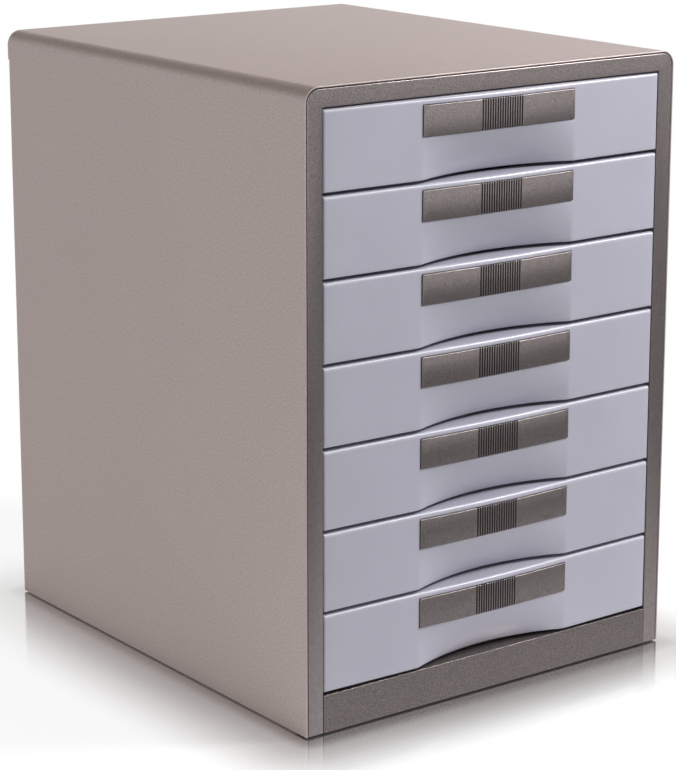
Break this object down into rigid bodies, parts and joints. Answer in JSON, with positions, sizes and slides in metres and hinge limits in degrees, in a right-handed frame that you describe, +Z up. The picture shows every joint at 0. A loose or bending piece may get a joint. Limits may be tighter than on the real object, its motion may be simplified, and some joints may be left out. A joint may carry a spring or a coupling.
{
  "type": "filing cabinet",
  "caption": "Desktop filing cabinet: steel case with rounded top edges and a front frame round stacked shallow drawers, each with a bowed grip plate over a finger scoop, on steel runners.",
  "frame": {"origin": "centre of the footprint on the standing surface, at the soles of the feet", "axes": "+Z up, -Y out of the drawer fronts, +X to the right seen from the front"},
  "size_m": [0.3, 0.3582, 0.411],
  "materials": {
    "case_paint": "satin taupe powder coat with a fine grain",
    "frame_paint": "darker taupe metallic paint with a fine sparkle",
    "front_plastic": "smooth cool grey moulded plastic, satin",
    "plate_plastic": "taupe metallic lacquer over moulded plastic, grooved in the middle",
    "tray_plastic": "fine-grained grey moulded plastic",
    "runner_steel": "zinc-plated sheet steel",
    "foot_rubber": "matt black rubber",
    "screw_steel": "zinc-plated screws"
  },
  "bodies": {
    "cabinet": {"case_shell": "case_paint", "front_frame": "frame_paint", "base_rail": "frame_paint", "base_pan": "case_paint", "back_panel": "case_paint", "back_screws": "screw_steel", "foot_front_left": "foot_rubber", "foot_front_right": "foot_rubber", "foot_rear_left": "foot_rubber", "foot_rear_right": "foot_rubber", "runner_1_left": "runner_steel", "runner_1_right": "runner_steel", "runner_2_left": "runner_steel", "runner_2_right": "runner_steel", "runner_3_left": "runner_steel", "runner_3_right": "runner_steel", "runner_4_left": "runner_steel", "runner_4_right": "runner_steel", "runner_5_left": "runner_steel", "runner_5_right": "runner_steel", "runner_6_left": "runner_steel", "runner_6_right": "runner_steel", "runner_7_left": "runner_steel", "runner_7_right": "runner_steel"},
    "drawer_1": {"drawer_1_tray": "tray_plastic", "drawer_1_front": "front_plastic", "drawer_1_handle_plate": "plate_plastic"},
    "drawer_2": {"drawer_2_tray": "tray_plastic", "drawer_2_front": "front_plastic", "drawer_2_handle_plate": "plate_plastic"},
    "drawer_3": {"drawer_3_tray": "tray_plastic", "drawer_3_front": "front_plastic", "drawer_3_handle_plate": "plate_plastic"},
    "drawer_4": {"drawer_4_tray": "tray_plastic", "drawer_4_front": "front_plastic", "drawer_4_handle_plate": "plate_plastic"},
    "drawer_5": {"drawer_5_tray": "tray_plastic", "drawer_5_front": "front_plastic", "drawer_5_handle_plate": "plate_plastic"},
    "drawer_6": {"drawer_6_tray": "tray_plastic", "drawer_6_front": "front_plastic", "drawer_6_handle_plate": "plate_plastic"},
    "drawer_7": {"drawer_7_tray": "tray_plastic", "drawer_7_front": "front_plastic", "drawer_7_handle_plate": "plate_plastic"}
  },
  "joints": [
    {"name": "drawer_1_slide", "type": "slide", "parent": "cabinet", "child": "drawer_1", "axis": [0, -1, 0], "range_m": [0, 0.24]},
    {"name": "drawer_2_slide", "type": "slide", "parent": "cabinet", "child": "drawer_2", "axis": [0, -1, 0], "range_m": [0, 0.24]},
    {"name": "drawer_3_slide", "type": "slide", "parent": "cabinet", "child": "drawer_3", "axis": [0, -1, 0], "range_m": [0, 0.24]},
    {"name": "drawer_4_slide", "type": "slide", "parent": "cabinet", "child": "drawer_4", "axis": [0, -1, 0], "range_m": [0, 0.24]},
    {"name": "drawer_5_slide", "type": "slide", "parent": "cabinet", "child": "drawer_5", "axis": [0, -1, 0], "range_m": [0, 0.24]},
    {"name": "drawer_6_slide", "type": "slide", "parent": "cabinet", "child": "drawer_6", "axis": [0, -1, 0], "range_m": [0, 0.24]},
    {"name": "drawer_7_slide", "type": "slide", "parent": "cabinet", "child": "drawer_7", "axis": [0, -1, 0], "range_m": [0, 0.24]}
  ]
}
